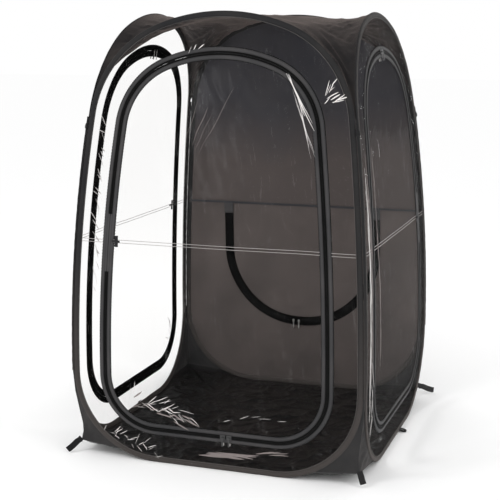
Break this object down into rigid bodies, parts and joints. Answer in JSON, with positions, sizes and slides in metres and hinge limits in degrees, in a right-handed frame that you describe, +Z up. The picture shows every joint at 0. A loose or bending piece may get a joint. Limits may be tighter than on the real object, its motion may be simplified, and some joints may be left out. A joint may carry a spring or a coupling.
{
  "type": "pop-up pod tent",
  "caption": "Square pop-up pod tent: four sprung hoop walls of clear film and fabric, zipped doors, a zipped back flap, fabric roof and floor.",
  "frame": {"origin": "centre of the footprint, on the ground", "axes": "+Z up; the front door faces -Y and the fabric back wall faces +Y"},
  "size_m": [1.2914, 1.2914, 1.7499],
  "materials": {
    "spring_steel": "tempered flat strip, dull",
    "sleeve_fabric": "charcoal woven polyester",
    "roof_fabric": "charcoal woven polyester, tight",
    "floor_fabric": "coated, near black, glossy wrinkles",
    "upper_wall_fabric": "dark blue-grey woven polyester",
    "lower_wall_fabric": "warm brown-grey woven polyester",
    "clear_film": "clear flexible film, glossy",
    "binding_tape": "grey grosgrain tape",
    "zip_black": "black coil zip on black tape",
    "slider_metal": "black enamelled",
    "webbing": "black webbing"
  },
  "bodies": {
    "tent": {"back_hoop": "spring_steel", "back_left_gusset": "sleeve_fabric", "back_right_gusset": "sleeve_fabric", "back_sleeve": "sleeve_fabric", "back_wall_lower": "lower_wall_fabric", "back_wall_upper": "upper_wall_fabric", "back_wall_zip": "zip_black", "corner_bindings": "sleeve_fabric", "floor": "floor_fabric", "front_hoop": "spring_steel", "front_left_gusset": "sleeve_fabric", "front_right_gusset": "sleeve_fabric", "front_sleeve": "sleeve_fabric", "front_window": "clear_film", "front_window_binding": "binding_tape", "front_window_zip": "zip_black", "joint_loops": "webbing", "left_hoop": "spring_steel", "left_sleeve": "sleeve_fabric", "left_window": "clear_film", "left_window_binding": "binding_tape", "left_window_zip": "zip_black", "right_hoop": "spring_steel", "right_sleeve": "sleeve_fabric", "right_window": "clear_film", "right_window_binding": "binding_tape", "right_window_zip": "zip_black", "roof": "roof_fabric", "stake_loops": "webbing"},
    "front_door": {"front_door_binding": "binding_tape", "front_door_film": "clear_film", "front_door_tie": "webbing", "front_door_zip": "zip_black"},
    "right_door": {"right_door_binding": "binding_tape", "right_door_film": "clear_film", "right_door_tie": "webbing", "right_door_zip": "zip_black"},
    "left_door": {"left_door_binding": "binding_tape", "left_door_film": "clear_film", "left_door_tie": "webbing", "left_door_zip": "zip_black"},
    "back_flap": {"back_flap": "lower_wall_fabric", "back_flap_zip": "zip_black"},
    "front_slider_a": {"front_slider_a": "slider_metal"},
    "front_pull_a": {"front_pull_a": "slider_metal"},
    "front_slider_b": {"front_slider_b": "slider_metal"},
    "front_pull_b": {"front_pull_b": "slider_metal"},
    "right_slider_a": {"right_slider_a": "slider_metal"},
    "right_pull_a": {"right_pull_a": "slider_metal"},
    "right_slider_b": {"right_slider_b": "slider_metal"},
    "right_pull_b": {"right_pull_b": "slider_metal"},
    "left_slider_a": {"left_slider_a": "slider_metal"},
    "left_pull_a": {"left_pull_a": "slider_metal"},
    "left_slider_b": {"left_slider_b": "slider_metal"},
    "left_pull_b": {"left_pull_b": "slider_metal"},
    "back_slider_a": {"back_slider_a": "slider_metal"},
    "back_pull_a": {"back_pull_a": "slider_metal"},
    "back_slider_b": {"back_slider_b": "slider_metal"},
    "back_pull_b": {"back_pull_b": "slider_metal"}
  },
  "joints": [
    {"name": "front_door_hinge", "type": "hinge", "parent": "tent", "child": "front_door", "pos_m": [-0.43588, -0.58167, 0.87], "axis": [-0.066, -0.0649, -0.9957], "range_deg": [0, 150]},
    {"name": "right_door_hinge", "type": "hinge", "parent": "tent", "child": "right_door", "pos_m": [0.58167, 0.43588, 0.87], "axis": [-0.0649, -0.066, 0.9957], "range_deg": [0, 150]},
    {"name": "left_door_hinge", "type": "hinge", "parent": "tent", "child": "left_door", "pos_m": [-0.58167, 0.43588, 0.87], "axis": [-0.0649, 0.066, -0.9957], "range_deg": [0, 150]},
    {"name": "back_flap_hinge", "type": "hinge", "parent": "tent", "child": "back_flap", "pos_m": [0, 0.57986, 0.8746], "axis": [1, 0, 0], "range_deg": [0, 150]},
    {"name": "front_slider_a_slide", "type": "slide", "parent": "front_door", "child": "front_slider_a", "axis": [1, 0, 0], "range_m": [-0.27, 0]},
    {"name": "front_pull_a_hinge", "type": "hinge", "parent": "front_slider_a", "child": "front_pull_a", "pos_m": [0.039, -0.60036, 0.13687], "axis": [-1, 0, 0], "range_deg": [0, 165]},
    {"name": "front_slider_b_slide", "type": "slide", "parent": "front_door", "child": "front_slider_b", "axis": [1, 0, 0], "range_m": [0, 0.165]},
    {"name": "front_pull_b_hinge", "type": "hinge", "parent": "front_slider_b", "child": "front_pull_b", "pos_m": [0.065, -0.60036, 0.13687], "axis": [-1, 0, 0], "range_deg": [0, 165]},
    {"name": "right_slider_a_run", "type": "hinge", "parent": "right_door", "child": "right_slider_a", "pos_m": [0.59084, 0, 1.02623], "axis": [0.9877, 0, 0.1563], "range_deg": [0, 19]},
    {"name": "right_pull_a_hinge", "type": "hinge", "parent": "right_slider_a", "child": "right_pull_a", "pos_m": [0.5057, -0.026, 1.59517], "axis": [0.0071, -0.999, -0.0446], "range_deg": [0, 165]},
    {"name": "right_slider_b_run", "type": "hinge", "parent": "right_door", "child": "right_slider_b", "pos_m": [0.59084, 0, 1.02623], "axis": [0.9877, 0, 0.1563], "range_deg": [-22, 0]},
    {"name": "right_pull_b_hinge", "type": "hinge", "parent": "right_slider_b", "child": "right_pull_b", "pos_m": [0.50561, 0, 1.59575], "axis": [0, -1, 0], "range_deg": [0, 165]},
    {"name": "left_slider_a_run", "type": "hinge", "parent": "left_door", "child": "left_slider_a", "pos_m": [-0.59084, 0, 1.02623], "axis": [-0.9877, 0, 0.1563], "range_deg": [0, 17]},
    {"name": "left_pull_a_hinge", "type": "hinge", "parent": "left_slider_a", "child": "left_pull_a", "pos_m": [-0.50599, 0.053, 1.59334], "axis": [-0.0144, 0.9958, -0.0909], "range_deg": [0, 165]},
    {"name": "left_slider_b_run", "type": "hinge", "parent": "left_door", "child": "left_slider_b", "pos_m": [-0.59084, 0, 1.02623], "axis": [-0.9877, 0, 0.1563], "range_deg": [-24, 0]},
    {"name": "left_pull_b_hinge", "type": "hinge", "parent": "left_slider_b", "child": "left_pull_b", "pos_m": [-0.5057, 0.027, 1.59512], "axis": [-0.0073, 0.9989, -0.0463], "range_deg": [0, 165]},
    {"name": "back_slider_a_run", "type": "hinge", "parent": "back_flap", "child": "back_slider_a", "pos_m": [0, 0.59856, 0.66], "axis": [0, 1, -0.0048], "range_deg": [-46, 0]},
    {"name": "back_pull_a_hinge", "type": "hinge", "parent": "back_slider_a", "child": "back_pull_a", "pos_m": [-0.009, 0.60171, 0.31509], "axis": [0.9997, -0.0001, -0.0261], "range_deg": [0, 165]},
    {"name": "back_slider_b_run", "type": "hinge", "parent": "back_flap", "child": "back_slider_b", "pos_m": [0, 0.59856, 0.66], "axis": [0, 1, -0.0048], "range_deg": [0, 42]},
    {"name": "back_pull_b_hinge", "type": "hinge", "parent": "back_slider_b", "child": "back_pull_b", "pos_m": [-0.035, 0.60172, 0.31676], "axis": [0.9948, -0.0005, -0.1014], "range_deg": [0, 165]}
  ]
}
